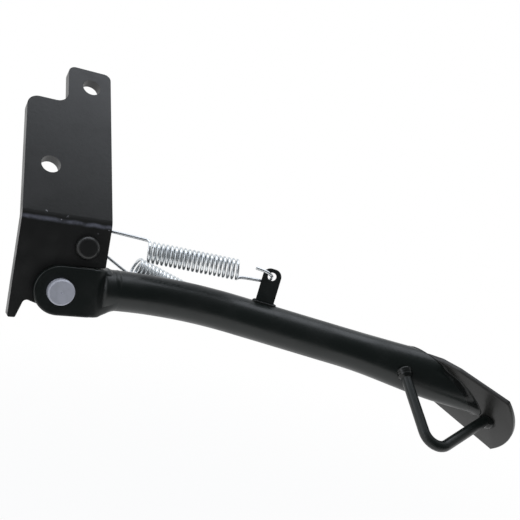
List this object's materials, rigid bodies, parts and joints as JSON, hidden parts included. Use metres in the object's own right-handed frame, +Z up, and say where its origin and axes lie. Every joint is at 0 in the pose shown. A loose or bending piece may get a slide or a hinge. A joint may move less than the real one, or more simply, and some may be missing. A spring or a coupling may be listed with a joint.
{
  "type": "scooter side stand",
  "caption": "Side stand for a scooter: folded bolt-on bracket, clevis on a pivot pin, bent tubular leg with foot plate and tang rod, pulled up by extension springs.",
  "frame": {"origin": "midway between the two mounting holes, on the rear face of the mounting plate", "axes": "+X runs along the bracket's fold and the retracted leg, towards the foot; +Y is the pivot's axis, pointing to the rear; +Z points up"},
  "size_m": [0.2474, 0.162, 0.1646],
  "materials": {
    "bracket_paint": "semi-gloss black paint",
    "leg_paint": "gloss black paint",
    "foot_paint": "semi-gloss black paint",
    "weld_paint": "gloss black paint over a rippled weld bead",
    "pin_zinc": "zinc plated, satin",
    "spring_zinc": "bright zinc plated",
    "bush_bronze": "plain bronze",
    "circlip_steel": "blackened spring steel"
  },
  "bodies": {
    "bracket": {"mounting_bracket": "bracket_paint", "pivot_bush": "bush_bronze", "spring_post": "bracket_paint"},
    "leg": {"clevis": "leg_paint", "pivot_pin": "pin_zinc", "pin_washer": "pin_zinc", "pin_circlip": "circlip_steel", "leg_tube": "leg_paint", "neck_weld": "weld_paint", "upper_spring_tab": "leg_paint", "upper_tab_weld": "weld_paint", "lower_spring_tab": "leg_paint", "lower_tab_weld": "weld_paint", "foot_plate": "foot_paint", "foot_weld": "weld_paint", "tang_rod": "leg_paint", "rod_tube_weld": "weld_paint", "rod_foot_weld": "weld_paint"},
    "springs": {"upper_spring": "spring_zinc", "lower_spring": "spring_zinc"}
  },
  "joints": [
    {"name": "leg_pivot", "type": "hinge", "parent": "bracket", "child": "leg", "pos_m": [-0.001, -0.03155, -0.07877], "axis": [0, 1, 0], "range_deg": [0, 108], "stiffness_Nm_per_rad": 1, "springref_deg": -85.94},
    {"name": "spring_stretch", "type": "slide", "parent": "leg", "child": "springs", "axis": [-0.8859, 0, -0.464], "range_m": [0, 0.0399], "deforming": ["upper_spring", "lower_spring"]}
  ],
  "couplings": [
    {"joint": "spring_stretch", "follows": "leg_pivot", "m_per_rad": 0.021075}
  ]
}
